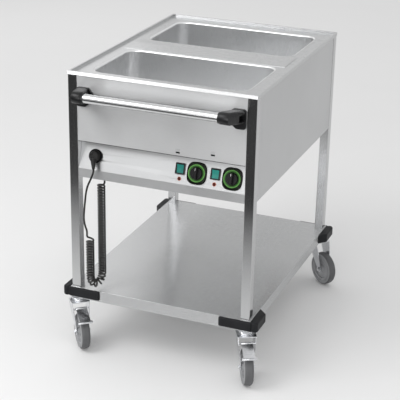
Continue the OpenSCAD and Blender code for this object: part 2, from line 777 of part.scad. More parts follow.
// The length that t turns take from a leg's free end: its first curl settles from straight
// down to the leg's pitch
function run_at(t, leg_turns, leg_l) = t / leg_turns * (leg_l - settle)
    + settle * (1 - pow(max(0, 1 - t), 2));
// Whole turns made after t: none at first, so that the cord leaves straight at both ends
function turned(t) = t < 1 ? t * t / 2
    : t > turns - 1 ? turns - 1 - pow(turns - t, 2) / 2
    : t - 0.5;
function curl_point(t) = let (a = cross(turn_side, spine_dir(t)),
    angle = 360 * turned(t) + curl_phase)
    spine(t) + curl_r * (cos(angle) * a + sin(angle) * turn_side);

// A tube of flat sides swept along points, with its ends square to the first and last runs
module tube(points, d, sides) {
    n = len(points);
    tangents = [for (i = [0:n - 1]) unit(points[min(i + 1, n - 1)] - points[max(i - 1, 0)])];
    rings = [for (i = [0:n - 1]) let (t = tangents[i], a = cross_up(t), b = cross(t, a))
        for (j = [0:sides - 1]) points[i] + d / 2 * (cos(360 * j / sides) * a
            + sin(360 * j / sides) * b)];
    walls = [for (i = [0:n - 2]) for (j = [0:sides - 1]) let (k = (j + 1) % sides)
        for (f = [[i * sides + j, i * sides + k, (i + 1) * sides + k],
                  [i * sides + j, (i + 1) * sides + k, (i + 1) * sides + j]]) f];
    ends = [[for (j = [sides - 1:-1:0]) j], [for (j = [0:sides - 1]) (n - 1) * sides + j]];
    polyhedron(rings, concat(walls, ends));
}

module cord_lead() color("#26282a") on_floor() tube(lead_route, cord_d, 8);

module cord_curls() color("#26282a") on_floor() {
    gaps = [for (i = [0:len(curl_points) - 6]) min([for (j = [i + 5:len(curl_points) - 1])
        norm(curl_points[i] - curl_points[j])])];
    echo(least_gap_of_curls = min(gaps) - cord_d);
    tube(curl_points, cord_d, curl_sides);
}

module cord_tail() color("#26282a") on_floor()
    tube([[gland_x, gland_y, curl_top_z + cord_d], [gland_x, gland_y, gland_foot]], cord_d, 8);

// The cord's clamp in the floor panel: a nut above, a body and a domed cap below
module cord_gland() color("#1a1b1d") on_floor() translate([gland_x, gland_y, 0]) difference() {
    union() {
        translate([0, 0, floor_panel_z - sheet - 6]) hex(gland_d, 6);
        translate([0, 0, gland_foot]) cylinder(d1 = 12, d2 = gland_d - 2, h = gland_drop - 6);
        translate([0, 0, floor_panel_z - sheet - 1]) cylinder(d = gland_thread - 0.4, h = 12);
        translate([0, 0, floor_panel_z]) hex(gland_d, 5);
    }
    translate([0, 0, gland_foot + 4]) cylinder(d = cord_d + 1, h = 40);
}

// ---- Hidden works: heating tubes under the wells, drains and their valves ----

module heating_elements() color("#6b6460") on_floor() for (y = well_rows)
    translate([0, y, well_floor_z - sheet - heater_d / 2]) {
        for (k = [0:3]) translate([0, (k - 1.5) * heater_pitch, 0]) rotate([0, 90, 0])
            cylinder(d = heater_d, h = heater_run, center = true);
        for (k = [0:2]) translate([(k % 2 == 0 ? 1 : -1) * heater_run / 2, (k - 1) * heater_pitch, 0])
            rotate([0, 0, k % 2 == 0 ? -90 : 90]) rotate_extrude(angle = 180)
                translate([heater_pitch / 2, 0]) circle(d = heater_d);
        for (s = [-1, 1]) translate([-heater_run / 2, s * 1.5 * heater_pitch, -30]) {
            cylinder(d = heater_d, h = 30);
            translate([0, 0, 26]) sphere(d = heater_d);
        }
    }

module drain_valves() color("#b9bcbe") on_floor() for (y = well_rows)
    translate([drain_x, y, valve_z]) difference() {
        union() {
            cylinder(d = drain_d, h = drain_drop - sheet);
            translate([0, 0, -valve_h / 2]) cylinder(d = valve_d, h = valve_h);
            for (z = [-valve_h / 2, valve_h / 2 - 12]) translate([0, 0, z]) hex(valve_d, 12);
            translate([0, 0, -valve_h / 2 - 18]) cylinder(d = drain_d, h = 19);
            rotate([90, 0, 0]) cylinder(d = stem_d + 10, h = valve_d / 2 + stem_boss);
        }
        translate([0, 0, valve_h / 2 - 8]) cylinder(d = drain_d - 2 * drain_wall, h = drain_drop);
        translate([0, 0, -valve_h]) cylinder(d = drain_d - 2 * drain_wall, h = valve_h / 2 + 8);
        translate([0, 4 - valve_d / 2 - stem_boss, 0]) rotate([90, 0, 0])
            cylinder(d = stem_d + 2 * shaft_fit, h = 30, center = true);
    }

// A quarter turn lever, at rest across its pipe, with a dipped grip
module drain_lever(y) color("#a33226") on_floor()
    translate([drain_x, y - valve_d / 2 - stem_boss, valve_z]) {
        translate([0, 14, 0]) rotate([90, 0, 0]) cylinder(d = stem_d, h = 18);
        translate([0, -run_gap, 0]) rotate([90, 0, 0]) linear_extrude(3) {
            circle(d = 20);
            translate([0, -6]) square([lever_l - 6, 12]);
            translate([lever_l - 6, 0]) circle(d = 12);
        }
        translate([0, -run_gap - 3, 0]) rotate([90, 0, 0]) hex(10, 4);
        translate([0, -run_gap, 0]) rotate([90, 0, 0]) linear_extrude(8) difference() {
            translate([34, -8]) square([lever_l - 34, 16]);
            translate([34 - tiny, -6]) square([lever_l, 12]);
        }
    }

module drain_lever_front() drain_lever(well_rows[0]);
module drain_lever_rear() drain_lever(well_rows[1]);

// ---- Casters ----

// What the posts carry: an expander in the tube, a flange, the ball race and the swivel pin
module caster_mounts() color(zinc) on_floor() for (k = kings)
    translate([k[0], k[1], shelf_foot]) {
        inner = post - 2 * post_wall - 2 * fit;
        linear_extrude(40) round_rect(inner, inner, 1);
        translate([0, 0, -3]) cylinder(d = mount_d, h = 3);
        translate([0, 0, -race_h]) difference() {
            cylinder(d = race_d, h = race_h);
            translate([0, 0, 4]) rotate_extrude() translate([race_d / 2 + 0.5, 0]) circle(d = 4);
        }
        translate([0, 0, -race_h - crown_t - 9]) cylinder(d = kingpin_d, h = crown_t + 10);
        translate([0, 0, -race_h - crown_t - 2 * run_gap - 2]) cylinder(d = 28, h = 2);
        translate([0, 0, -race_h - crown_t - 2 * run_gap - 9]) hex(19, 8);
    }

module cheek_outline() {
    top = wheel_r + (crown_z - crown_t / 2 - wheel_r) / cos(cheek_tilt);
    nose = 12;
    polygon([[crown_front - crown_r, top], [crown_front - 2, crown_z - 20], [nose - trail, wheel_r + 2],
        [-nose - trail, wheel_r + 2], [-crown_back - 3, crown_z - 28],
        [crown_r - crown_back, top]]);
    translate([-trail, wheel_r]) circle(nose);
}

// A pressed fork: a crown under the ball race and two cheeks that draw in to the axle
module fork(i) color(zinc) on_floor() at_caster(i) difference() {
    union() {
        translate([0, (crown_front - crown_back) / 2, crown_z - crown_t]) linear_extrude(crown_t)
            round_rect(crown_w, crown_front + crown_back, crown_r);
        for (s = [0, 1]) mirror([s, 0, 0]) {
            translate([cheek_gap, 0, wheel_r]) rotate([0, cheek_tilt, 0]) translate([0, 0, -wheel_r])
                rotate([90, 0, 90]) linear_extrude(cheek_t) cheek_outline();
            translate([hub_half + boss_gap, -trail, wheel_r]) rotate([0, 90, 0])
                cylinder(d = 18, h = cheek_gap - hub_half - boss_gap + 1);
        }
        if (i < 2) translate([0, -pedal_pin_u, pedal_pin_z]) rotate([0, 90, 0])
            cylinder(d = pedal_pin_d, h = 2 * pedal_pin_half, center = true);
    }
    translate([0, -trail, wheel_r]) rotate([0, 90, 0])
        cylinder(d = axle_d + 2 * shaft_fit, h = 2 * crown_w, center = true);
    cylinder(d = kingpin_d + 2 * shaft_fit, h = 2 * crown_z);
}

module fork_front_left() fork(0);
module fork_front_right() fork(1);
module fork_rear_left() fork(2);
module fork_rear_right() fork(3);

module wheel(i) color(tyre_grey) on_floor() at_caster(i) translate([0, -trail, wheel_r])
    rotate([0, 90, 0]) rotate_extrude($fn = 96) difference() {
        union() {
            translate([wheel_r - 17, -wheel_w / 2]) square([17 - tyre_round, wheel_w]);
            translate([wheel_r - 17, tyre_round - wheel_w / 2])
                square([17, wheel_w - 2 * tyre_round]);
            for (s = [-1, 1]) translate([wheel_r - tyre_round, s * (wheel_w / 2 - tyre_round)])
                circle(tyre_round);
            translate([0, -7]) square([wheel_r - 16, 14]);
            translate([wheel_r - 24, -13]) square([8, 26]);
            translate([0, -hub_half]) square([15, 2 * hub_half]);
        }
        translate([-1, -wheel_w]) square([1 + axle_d / 2 + shaft_fit, 2 * wheel_w]);
    }

module wheel_front_left() wheel(0);
module wheel_front_right() wheel(1);
module wheel_rear_left() wheel(2);
module wheel_rear_right() wheel(3);

module axle(i) color(zinc) on_floor() at_caster(i) translate([0, -trail, wheel_r])
    rotate([0, 90, 0]) {
        half = cheek_gap + cheek_t + 0.8;
        cylinder(d = axle_d, h = 2 * half + 4, center = true);
        translate([0, 0, half]) hex(13, 5);
        translate([0, 0, -half - 5.5]) hex(13, 5.5);
        translate([0, 0, -half - 7]) cylinder(d = 8, h = 2);
    }

module axle_front_left() axle(0);
module axle_front_right() axle(1);
module axle_rear_left() axle(2);
module axle_rear_right() axle(3);

// A foot lever on a cross pin, with an embossed tread, a wide curled lip and a brake shoe
module brake_pedal(i) color(zinc) on_floor() at_caster(i) {
    fall = atan((pedal_pin_z - pedal_tip_z) / (pedal_tip_u - pedal_pin_u));
    reach = norm([pedal_pin_z - pedal_tip_z, pedal_tip_u - pedal_pin_u]);
    translate([0, -pedal_pin_u, pedal_pin_z]) rotate([fall, 0, 0]) difference() {
        union() {
            along_x(pedal_w) {
                translate([-reach, 1]) square([reach, pedal_t]);
                circle(d = pedal_pin_d + 5);
                translate([-30, -3.5]) square([16, 5]);
            }
            along_x(pedal_lip_w) translate([-reach, 1]) {
                square([7, pedal_t]);
                translate([0, pedal_t / 2]) circle(d = pedal_t + 5);
            }
            translate([0, -reach / 2 - 6, 1 + pedal_t]) cube([20, 13, 2], center = true);
        }
        rotate([0, 90, 0]) cylinder(d = pedal_pin_d + 2 * shaft_fit, h = 2 * pedal_w, center = true);
    }
}

module brake_pedal_left() brake_pedal(0);
module brake_pedal_right() brake_pedal(1);

top_sheet();
well_bridge();
front_well();
rear_well();
front_panel();
control_panel();
left_panel();
right_panel();
rear_panel();
floor_panel();
post_front_left();
post_front_right();
post_rear_left();
post_rear_right();
shelf();
shelf_channels();
bumper_front_left();
bumper_front_right();
bumper_rear_left();
bumper_rear_right();
handle_bar();
handle_bracket_left();
handle_bracket_right();
handle_screws();
dial_plates();
dial_rings();
knob_one();
knob_two();
regulators();
switch_frames();
rocker_one();
rocker_two();
pilot_lamps();
parking_socket();
plug();
cord_lead();
cord_curls();
cord_tail();
cord_gland();
heating_elements();
drain_valves();
drain_lever_front();
drain_lever_rear();
caster_mounts();
fork_front_left();
fork_front_right();
fork_rear_left();
fork_rear_right();
wheel_front_left();
wheel_front_right();
wheel_rear_left();
wheel_rear_right();
axle_front_left();
axle_front_right();
axle_rear_left();
axle_rear_right();
brake_pedal_left();
brake_pedal_right();
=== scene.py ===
"""Looks of the heated serving trolley: finishes, the curly cord, small trims, light and camera.

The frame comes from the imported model, so every place here is in metres in its frame: the
front is -Y, the right side is +X and the floor is Z = 0. Places named in the trolley's own
frame, whose X and Y start at the middle of its top, go through local().
"""

import json
import math

import bmesh
import bpy
from mathutils import Matrix, Vector


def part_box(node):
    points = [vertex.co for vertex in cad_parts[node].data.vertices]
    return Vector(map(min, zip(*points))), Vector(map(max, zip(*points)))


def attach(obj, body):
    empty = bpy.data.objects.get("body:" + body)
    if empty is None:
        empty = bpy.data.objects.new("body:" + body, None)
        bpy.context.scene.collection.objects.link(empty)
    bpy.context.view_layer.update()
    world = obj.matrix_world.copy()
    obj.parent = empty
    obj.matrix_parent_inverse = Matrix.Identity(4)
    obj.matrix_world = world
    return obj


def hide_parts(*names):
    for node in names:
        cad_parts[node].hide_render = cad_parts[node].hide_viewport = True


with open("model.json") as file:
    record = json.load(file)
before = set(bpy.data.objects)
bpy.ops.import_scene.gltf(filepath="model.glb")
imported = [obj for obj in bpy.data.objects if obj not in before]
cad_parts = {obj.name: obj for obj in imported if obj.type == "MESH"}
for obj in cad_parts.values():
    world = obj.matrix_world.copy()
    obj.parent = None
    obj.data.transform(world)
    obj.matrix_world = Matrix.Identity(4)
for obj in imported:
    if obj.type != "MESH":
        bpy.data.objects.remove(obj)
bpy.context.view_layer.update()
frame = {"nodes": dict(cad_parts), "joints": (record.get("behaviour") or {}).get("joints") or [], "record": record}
nodes = frame["nodes"]

MM = 0.001
MID = Vector((19.643, -36.7014, 0)) * MM      # middle of the box, in the trolley's own frame


def local(x, y, z):
    """A point in the trolley's own frame, in millimetres, as a point of the scene."""
    return Vector((x, y, z)) * MM - MID


# ---- Camera: the photograph's place, aim and lens ----

CAMERA_AT = local(1465.72, -3795.0, 2080.57)
AZIMUTH, ELEVATION, ROLL = -0.374982, -0.384585, 0.0199783
FOCAL_PIXELS, FRAME_PIXELS, SENSOR = 1222.0, 400.0, 36.0


def place_camera():
    ahead = Vector((math.sin(AZIMUTH) * math.cos(ELEVATION),
                    math.cos(AZIMUTH) * math.cos(ELEVATION), math.sin(ELEVATION)))
    right = ahead.cross(Vector((0, 0, 1))).normalized()
    up = right.cross(ahead)
    c, s = math.cos(ROLL), math.sin(ROLL)
    right, up = c * right + s * up, c * up - s * right
    data = bpy.data.cameras.new("camera")
    data.sensor_width = SENSOR
    data.lens = FOCAL_PIXELS / FRAME_PIXELS * SENSOR
    data.clip_end = 60
    camera = bpy.data.objects.new("camera", data)
    turn = Matrix((right, up, -ahead)).transposed().to_4x4()
    camera.matrix_world = Matrix.Translation(CAMERA_AT) @ turn
    bpy.context.scene.collection.objects.link(camera)
    bpy.context.scene.camera = camera


place_camera()

# ---- Materials ----

COLOUR_A, COLOUR_B, COLOUR_OUT = 6, 7, 2       # sockets of the Mix node set to colours
NOISE_ROUGHNESS = 0.55
CLOUD_LOW, CLOUD_HIGH = 0.3, 0.7               # the values that most of a noise has
PIT_SCALE, PIT_DEPTH = 900, 0.00008            # spark grain of moulded plastic


class Nodes:
    """A small writer of node trees: each call adds a node and links what it is given."""

    def __init__(self, material):
        self.tree = material.node_tree
        self.coords = None

    def add(self, kind, settings=None, **inputs):
        node = self.tree.nodes.new(kind)
        for name, value in (settings or {}).items():
            setattr(node, name, value)
        for name, value in inputs.items():
            self.set(node, name.replace("_", " "), value)
        return node

    def set(self, node, name, value):
        socket = node.inputs[int(name)] if name.isdigit() else node.inputs[name]
        if isinstance(value, bpy.types.NodeSocket):
            self.tree.links.new(value, socket)
        else:
            socket.default_value = value

    def place(self, scale=(1, 1, 1)):
        """Object coordinates, in metres, stretched by scale."""
        if self.coords is None:
            self.coords = self.add("ShaderNodeTexCoord").outputs["Object"]
        mapping = self.add("ShaderNodeMapping", Vector=self.coords)
        mapping.inputs["Scale"].default_value = scale
        return mapping.outputs[0]

    def noise(self, scale, stretch=(1, 1, 1), detail=3.0):
        return self.add("ShaderNodeTexNoise", Vector=self.place(stretch), Scale=scale,
                        Detail=detail, Roughness=NOISE_ROUGHNESS).outputs["Fac"]

    def ramp(self, value, low, high, lower=0.0, upper=1.0):
        """value, from low..high to lower..upper, held at both ends."""
        node = self.add("ShaderNodeMapRange", {"clamp": True}, Value=value)
        for name, v in (("From Min", low), ("From Max", high), ("To Min", lower),
                        ("To Max", upper)):
            node.inputs[name].default_value = v
        return node.outputs[0]

    def levels(self, noise, lower=0.0, upper=1.0):
        """noise, from the values that most of it has to lower..upper."""
        return self.ramp(noise, CLOUD_LOW, CLOUD_HIGH, lower, upper)

    def mix(self, factor, a, b):
        """A colour between a and b, each a socket or three numbers."""
        node = self.add("ShaderNodeMix", {"data_type": "RGBA"})
        self.set(node, "0", factor)
        for index, value in ((COLOUR_A, a), (COLOUR_B, b)):
            if not isinstance(value, bpy.types.NodeSocket):
                value = (*value, 1)
            self.set(node, str(index), value)
        return node.outputs[COLOUR_OUT]

    def math(self, operation, a, b=0.0):
        node = self.add("ShaderNodeMath", {"operation": operation})
        self.set(node, "0", a)
        self.set(node, "1", b)
        return node.outputs[0]

    def vector(self, operation, a, b=None, output="Vector"):
        node = self.add("ShaderNodeVectorMath", {"operation": operation})
        self.set(node, "0", a)
        if b is not None:
            self.set(node, "1", b)
        return node.outputs[output]

    def part(self, vector, axis):
        """One component of a vector: 0 for X, 1 for Y, 2 for Z."""
        return self.add("ShaderNodeSeparateXYZ", Vector=vector).outputs[axis]

    def normal(self):
        return self.add("ShaderNodeNewGeometry").outputs["Normal"]

    def bump(self, height, distance, strength):
        return self.add("ShaderNodeBump", Height=height, Distance=distance,
                        Strength=strength).outputs[0]


def new_material(name):
    material = bpy.data.materials.new(name)
    material.use_nodes = True
    shader = material.node_tree.nodes["Principled BSDF"]
    return material, Nodes(material), shader


FRONT_FACING, FRONT_TURNED = -0.8, -0.5        # Y of the normals that lean fully and not at all
RIM_SPLIT = 0.1                                # metres either way of the middle


def rolled_edge(n, lean):
    """Normals of a rolled rim: its outer face at the front leans up and its inner face at
    the rear leans down, by lean."""
    normal = n.normal()
    facing = n.ramp(n.part(normal, 1), FRONT_FACING, FRONT_TURNED, 1, 0)
    share = n.ramp(n.part(n.place(), 1), -RIM_SPLIT, RIM_SPLIT, lean, -lean)
    rise = n.math("MULTIPLY", facing, share)
    tip = n.add("ShaderNodeCombineXYZ", Z=rise).outputs[0]
    return n.vector("NORMALIZE", n.vector("ADD", normal, tip))


GRAIN_LEAN = Vector((0.02, 0.013, 0.017))      # keeps the grain off every face's own normal
ALONG, ACROSS = 3, 260                         # how close the grain's noise lies each way
GRAIN_SCALE, GRAIN_DEPTH, GRAIN_STRENGTH = 14, 0.00006, 0.3
SMEAR_SCALE, SMEAR_LOW, SMEAR_HIGH = 2.6, 0.35, 0.7
FLECK = 0.05


def toned(colour, share):
    """colour made darker or lighter by a share of itself."""
    return tuple(min(1, c * (1 + share)) for c in colour)


def brushed(name, colour, rough, grain="X", pull=0.8, streak=0.05, spread=0.05, rolled=0.0):
    """Stainless sheet: fine grain along one axis, which pulls reflections out across it,
    with faint smears of polish and a few soft marks."""
    material, n, shader = new_material(name)
    shader.inputs["Metallic"].default_value = 1.0
    shader.inputs["Anisotropic"].default_value = pull
    run = Vector([float(letter == grain) for letter in "XYZ"])
    fine = n.noise(GRAIN_SCALE, tuple(ALONG if v else ACROSS for v in run), detail=2)
    broad = n.noise(SMEAR_SCALE, detail=4)
    n.set(shader, "Base Color", n.mix(n.levels(fine), toned(colour, -FLECK),
                                      toned(colour, FLECK)))
    smear = n.ramp(broad, SMEAR_LOW, SMEAR_HIGH, -spread, spread)
    grit = n.levels(fine, -streak, streak)
    n.set(shader, "Roughness", n.math("ADD", n.math("ADD", smear, grit), rough))
    bump = n.add("ShaderNodeBump", Height=fine, Distance=GRAIN_DEPTH, Strength=GRAIN_STRENGTH)
    n.set(shader, "Normal", bump.outputs[0])
    if rolled:
        n.set(bump, "Normal", rolled_edge(n, rolled))
    n.set(shader, "Tangent", n.vector("CROSS_PRODUCT", n.normal(), run + GRAIN_LEAN))
    return material


HANDLING_MARKS, WEAR_SCALE, DULL_SCALE = 0.04, 40, 9
PLASTIC_TONE, CLOUD_SCALE = 0.25, 22


def chrome(name, colour, rough):
    """Bright plated or polished metal, with faint handling marks."""
    material, n, shader = new_material(name)
    shader.inputs["Metallic"].default_value = 1.0
    wear = n.noise(WEAR_SCALE, detail=5)
    soft = n.noise(DULL_SCALE, detail=2)
    n.set(shader, "Base Color", n.mix(n.ramp(wear, 0.4, 0.75), colour, toned(colour, -0.1)))
    dulled = n.levels(soft, -HANDLING_MARKS / 2, HANDLING_MARKS)
    n.set(shader, "Roughness", n.math("ADD", dulled, rough))
    n.set(shader, "Normal", n.bump(soft, 0.0001, 0.1))
    return material


def plastic(name, colour, rough, specular=0.5):
    """Moulded plastic or rubber: fine spark grain and uneven sheen."""
    material, n, shader = new_material(name)
    shader.inputs["Specular IOR Level"].default_value = specular
    pits = n.noise(PIT_SCALE, detail=2)
    cloud = n.noise(CLOUD_SCALE, detail=4)
    n.set(shader, "Base Color", n.mix(n.levels(cloud), toned(colour, -PLASTIC_TONE),
                                      toned(colour, PLASTIC_TONE)))
    n.set(shader, "Roughness", n.levels(cloud, rough - 0.06, rough + 0.08))
    n.set(shader, "Normal", n.bump(pits, PIT_DEPTH, 0.5))
    return material


CENTRE_R, TREAD_R = 0.0455, 0.0578             # where the moulded centre and the flank end
CENTRE_FADE, TREAD_FADE = 0.0007, 0.0010
RING_RATE, RING_SHARE = 5200.0, 0.25           # turning lines, in radians per metre of radius
WHEEL_CLOUD, WHEEL_FLECK, WHEEL_DEPTH = 30, 700, 0.00009


def wheel(name, joint, tread, hub, rough):
    """A caster wheel: a darker tread round a paler moulded centre, told apart by the
    distance from the axle, with fine turning lines on its flanks."""
    material, n, shader = new_material(name)
    shader.inputs["Specular IOR Level"].default_value = 0.3
    roll = next(j for j in frame["joints"] if j["name"] == joint)
    at, axis = Vector(roll["pos_m"]), Vector(roll["axis"])
    away = n.vector("SUBTRACT", n.place(), at)
    radius = n.vector("LENGTH", n.vector("CROSS_PRODUCT", away, axis.normalized()),
                      output="Value")
    cloud = n.noise(WHEEL_CLOUD, detail=4)
    fleck = n.noise(WHEEL_FLECK, detail=2)
    dark = n.mix(n.levels(cloud), toned(tread, -0.2), tread)
    pale = n.mix(n.levels(cloud), toned(hub, -0.15), hub)
    flank = n.mix(n.levels(cloud), tuple((c + d) / 2 for c, d in zip(tread, hub)),
                  tuple((c + 2 * d) / 3 for c, d in zip(tread, hub)))
    centre = n.mix(n.ramp(radius, CENTRE_R, CENTRE_R + CENTRE_FADE), pale, flank)
    n.set(shader, "Base Color", n.mix(n.ramp(radius, TREAD_R, TREAD_R + TREAD_FADE), centre, dark))
    n.set(shader, "Roughness", n.levels(cloud, rough - 0.08, rough + 0.1))
    rings = n.math("SINE", n.math("MULTIPLY", radius, RING_RATE))
    height = n.math("ADD", fleck, n.math("MULTIPLY", rings, RING_SHARE))
    n.set(shader, "Normal", n.bump(height, WHEEL_DEPTH, 0.5))
    return material


LOOKS = {
    "top_steel": brushed("top_steel", (0.61, 0.615, 0.62), 0.28, pull=0.7, spread=0.03,
                         rolled=0.4),
    # The wells' steel: the top's stainless made paler, painted light inside the shaded wells
    "well_steel": brushed("well_steel", (0.84, 0.845, 0.85), 0.30, "Z", 0.6),
    "panel_steel": brushed("panel_steel", (0.68, 0.685, 0.69), 0.42),
    "side_steel": brushed("side_steel", (0.585, 0.59, 0.595), 0.42, "Y"),
    # The slope's steel: the panel's stainless made darker, painted shade against the front light
    "slope_steel": brushed("slope_steel", (0.52, 0.525, 0.53), 0.40),
    "post_steel": brushed("post_steel", (0.53, 0.535, 0.54), 0.16, "Z", 0.6, streak=0.03,
                          spread=0.03),
    "shelf_steel": brushed("shelf_steel", (0.55, 0.555, 0.56), 0.24, pull=1.0, spread=0.02),
    "bumper_plastic": plastic("bumper_plastic", (0.011, 0.0115, 0.013), 0.5, specular=0.18),
    "bar_chrome": chrome("bar_chrome", (0.70, 0.705, 0.71), 0.19),
    "bracket_plastic": plastic("bracket_plastic", (0.008, 0.0083, 0.009), 0.3, specular=0.32),
    "screw_zinc": chrome("screw_zinc", (0.72, 0.73, 0.75), 0.25),
    "dial_black": plastic("dial_black", (0.004, 0.0058, 0.0032), 0.3, specular=0.1),
    "ring_green": plastic("ring_green", (0.085, 0.25, 0.05), 0.4, specular=0.2),
    "ring_dim": plastic("ring_dim", (0.028, 0.095, 0.017), 0.45, specular=0.2),
    "knob_black": plastic("knob_black", (0.0055, 0.0052, 0.006), 0.3, specular=0.18),
    "knob_mark": plastic("knob_mark", (0.50, 0.50, 0.48), 0.45),
    "regulator_grey": plastic("regulator_grey", (0.30, 0.31, 0.33), 0.5),
    "switch_black": plastic("switch_black", (0.007, 0.008, 0.009), 0.38, specular=0.25),
    "rocker_teal": plastic("rocker_teal", (0.02, 0.19, 0.16), 0.22, specular=0.3),
    "lamp_red": plastic("lamp_red", (0.055, 0.006, 0.004), 0.15, specular=0.25),
    # The lamps' rims: a pale orange that is painted glow of the lit lamps
    "lamp_rim": plastic("lamp_rim", (0.55, 0.17, 0.09), 0.4),
    # The printed marks' black, which also paints the shadow strip at the panel seam
    "print_and_shadow_black": plastic("print_and_shadow_black", (0.006, 0.006, 0.007), 0.6, specular=0.08),
    "print_grey": plastic("print_grey", (0.36, 0.36, 0.37), 0.6, specular=0.2),
    "socket_black": plastic("socket_black", (0.003, 0.0031, 0.0035), 0.45, specular=0.08),
    "plug_rubber": plastic("plug_rubber", (0.011, 0.0108, 0.0105), 0.3, specular=0.25),
    "cord_rubber": plastic("cord_rubber", (0.009, 0.0085, 0.0078), 0.2, specular=0.7),
    "heater_steel": brushed("heater_steel", (0.33, 0.29, 0.27), 0.4),
    "valve_brass": chrome("valve_brass", (0.66, 0.66, 0.64), 0.22),
    "lever_red": plastic("lever_red", (0.42, 0.03, 0.025), 0.35),
    "caster_zinc": chrome("caster_zinc", (0.72, 0.73, 0.75), 0.2),
}
TREAD_GREY, HUB_GREY = (0.105, 0.106, 0.11), (0.37, 0.375, 0.385)
for corner in ("front_left", "front_right", "rear_left", "rear_right"):
    LOOKS["wheel_" + corner] = wheel("wheel_" + corner, "roll_" + corner, TREAD_GREY,
                                     HUB_GREY, 0.5)


def slot_of(node):
    for part in frame["record"]["subparts"]:
        if part["node"] == node:
            return part["material_slot"]
    return None


def dress(node, look):
    mesh = nodes[node].data
    mesh.materials.clear()
    mesh.materials.append(look)


# Nodes whose look differs from their slot's: the side panels are brushed along Y and a little darker,
# and the slope takes a darker copy of the panel steel, painted shade. Each wheel's look has the wheel's own name
OTHER_LOOKS = {"left_panel": "side_steel", "right_panel": "side_steel",
               "control_panel": "slope_steel"}

for name in nodes:
    dress(name, LOOKS[name if name in LOOKS else OTHER_LOOKS.get(name, slot_of(name))])

# ---- Cord: the tail, the curls and the lead, as one line from the gland to the plug ----

# In millimetres, as the solids have them, apart from the curls: these are 29 across and 27 in
# the solids, with half a turn more round the bend there
CORD_D, CURL_D = 6.5, 29.0
CURL_R = (CURL_D - CORD_D) / 2
PLUG_X, FACE_Y, FOLD_Z, GLAND_FOOT = -234.0, -430.9, 660.0, 632.5
# The lead's route from below the plug, from the foot of the slope straight below the socket
LEAD_STEPS = ((8, -21, 12), (8, -21, 4), (6, -21, -5), (2, -22, -16), (-3, -23, -28),
              (-9, -24, -41), (-14, -24, -54), (-18, -24, -70), (-21, -24, -88),
              (-23, -24, -106), (-25, -24, -122), (-27, -23, -138), (-28.5, -23, -153),
              (-29.5, -22, -167), (-29, -21, -180), (-27, -21, -191), (-24, -21, -200.5),
              (-21, -21, -208), (-19.5, -21, -215), (-19.5, -21, -222))
UP_LEG_RIGHT, UP_LEG_IN = 12.5, 26.0           # the last leg, from the plug and the face
TAIL_L = 8 + CORD_D                            # from the gland to the curls
CURL_TOP, TURN_Z, TURN_DEPTH = GLAND_FOOT - TAIL_L, 283.0, 34.0
TURNS_DOWN, TURNS_UP = 14.6, 33.2
BEND_END_RATE, BEND_LOW_RATE = 0.062, 0.0262   # turns per degree, at its ends and lowest point
SETTLE = 8.0                                   # the length taken by a leg's first turn
POINTS_PER_TURN = 16
UP = Vector((0, 0, 1))


def turns_at(a):
    """Turns made from the bend's start to an angle round it, in degrees."""
    return BEND_LOW_RATE * a + (BEND_END_RATE - BEND_LOW_RATE) * (
        a / 2 + math.sin(math.radians(2 * a)) * 45 / math.pi)


BEND_TABLE = [turns_at(a) for a in range(181)]
TURNS_BEND = BEND_TABLE[-1]
TURNS = TURNS_DOWN + TURNS_BEND + TURNS_UP


def bend_at(t):
    """The angle round the bend, in degrees, at a turn: 0 on the first leg, 180 on the last."""
    t = min(max(t - TURNS_DOWN, 0), TURNS_BEND)
    for a in range(180):
        if t <= BEND_TABLE[a + 1]:
            return a + (t - BEND_TABLE[a]) / (BEND_TABLE[a + 1] - BEND_TABLE[a])
    return 180.0


def run_at(t, leg_turns, leg_l):
    """The length that t turns take from a leg's free end."""
    return t / leg_turns * (leg_l - SETTLE) + SETTLE * (1 - max(0, 1 - t) ** 2)


def turned(t):
    """Whole turns made after t: none at first, so that the cord leaves straight."""
    if t < 1:
        return t * t / 2
    if t > TURNS - 1:
        return TURNS - 1 - (TURNS - t) ** 2 / 2
    return t - 0.5


def cord_points():
    """The cord's middle line in millimetres in the trolley's own frame, plug to gland."""
    lead = [Vector((PLUG_X, FACE_Y, FOLD_Z)) + Vector(p) for p in LEAD_STEPS]
    down_mid = Vector((lead[-1].x + CURL_R, lead[-1].y, 0))
    up_mid = Vector((PLUG_X + UP_LEG_RIGHT, FACE_Y + UP_LEG_IN, 0))
    half = (up_mid - down_mid) / 2
    way = half.normalized()
    side = way.cross(UP)
    start_z = lead[-1].z - CORD_D
    phase = math.pi + math.atan2(way.y, way.x)

    def curl(t):
        a = math.radians(bend_at(t))
        if t < TURNS_DOWN:
            mid = down_mid + UP * (start_z - run_at(t, TURNS_DOWN, start_z - TURN_Z))
        elif t > TURNS - TURNS_UP:
            mid = up_mid + UP * (CURL_TOP - run_at(TURNS - t, TURNS_UP, CURL_TOP - TURN_Z))
        else:
            mid = down_mid + half * (1 - math.cos(a)) + UP * (TURN_Z - TURN_DEPTH * math.sin(a))
        along = (half * math.sin(a) - UP * TURN_DEPTH * math.cos(a)).normalized()
        angle = 2 * math.pi * turned(t) + phase
        return mid + CURL_R * (math.cos(angle) * side.cross(along) + math.sin(angle) * side)

    curls = [curl(i / POINTS_PER_TURN) for i in range(int(TURNS * POINTS_PER_TURN) + 1)]
    end = curl(TURNS)
    return lead + curls + [end, end + UP * CORD_D, end + UP * (GLAND_FOOT - CURL_TOP)]


